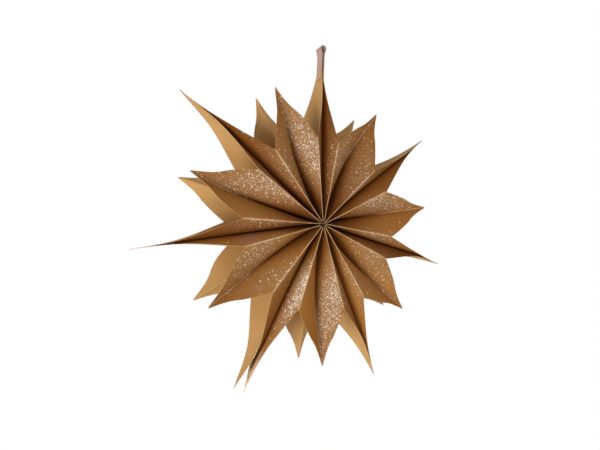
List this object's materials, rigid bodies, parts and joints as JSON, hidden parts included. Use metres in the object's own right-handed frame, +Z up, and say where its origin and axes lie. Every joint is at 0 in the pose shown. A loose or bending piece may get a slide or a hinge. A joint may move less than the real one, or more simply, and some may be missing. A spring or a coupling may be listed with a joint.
{
  "type": "hanging paper bag star",
  "caption": "Hanging star of gusseted kraft paper bags fanned into a ring, with cut points, glitter and a ribbon loop.",
  "frame": {"origin": "where a hook bears on the inside of the ribbon loop, at its top", "axes": "+Z up as it hangs, Y along the star's axis with the front at -Y, +X to the right seen from the front"},
  "size_m": [0.4293, 0.06, 0.4225],
  "materials": {
    "kraft_paper": "brown kraft paper, glittered outside and plain inside",
    "ribbon": "dusty mauve brown velvet ribbon"
  },
  "bodies": {
    "root": {"bag_1": "kraft_paper", "bag_2": "kraft_paper", "bag_3": "kraft_paper", "bag_4": "kraft_paper", "bag_5": "kraft_paper", "bag_6": "kraft_paper", "bag_7": "kraft_paper", "hanging_loop": "ribbon"}
  },
  "joints": []
}
